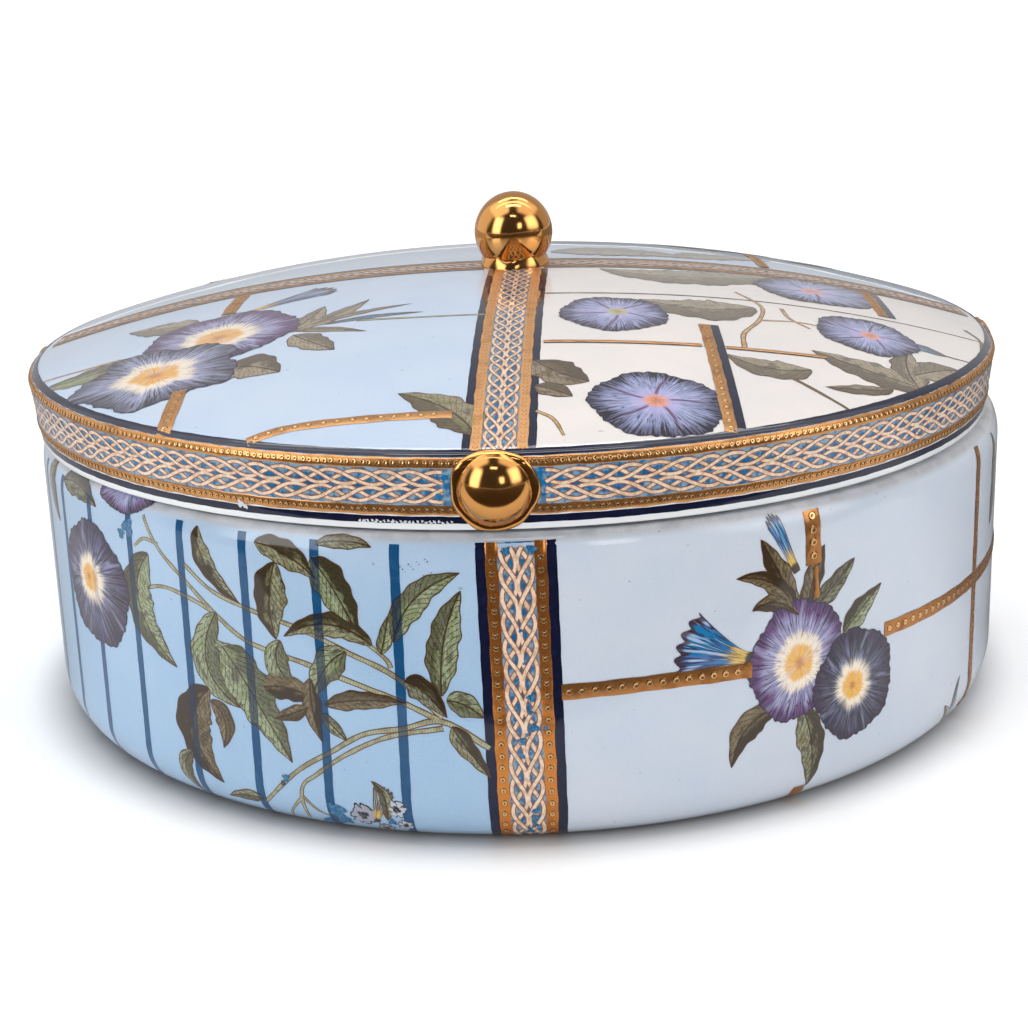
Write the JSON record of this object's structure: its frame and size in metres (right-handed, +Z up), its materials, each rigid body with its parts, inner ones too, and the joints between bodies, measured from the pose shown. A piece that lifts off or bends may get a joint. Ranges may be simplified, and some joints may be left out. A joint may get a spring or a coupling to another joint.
{
  "type": "porcelain lidded box",
  "caption": "Round glazed porcelain box with a low domed lift-off lid, a gilt ball finial, gilt balls round the rim and painted flowers, stripes and plaited bands; hollow and empty.",
  "frame": {"origin": "on the table, at the bottom centre of the box's bounding box, which is under the middle of the lid; the pot's own axis is 1.7 mm towards +X", "axes": "+Z up; -Y towards the front, where the picture looks from; +X to the right"},
  "size_m": [0.262, 0.2618, 0.1272],
  "materials": {
    "body_glaze": "glossy clear glaze over pale blue and grey-blue enamel",
    "lid_glaze": "glossy clear glaze over pale blue and cream enamel",
    "bare_porcelain": "bare biscuit at the lid's foot and the foot ring",
    "gilding": "burnished gold over porcelain, thin and slightly rippled",
    "navy_enamel": "glossy dark navy line",
    "plait_enamel": "cream plait with brown outlines on mid blue, glazed",
    "flower_enamel": "painted violet and grey-blue blossoms, glazed",
    "leaf_enamel": "painted olive and brown leaves and stems, glazed",
    "stripe_enamel": "mid blue painted stripes, glazed"
  },
  "bodies": {
    "root": {"box_body": "body_glaze", "lid": "lid_glaze"}
  },
  "joints": []
}
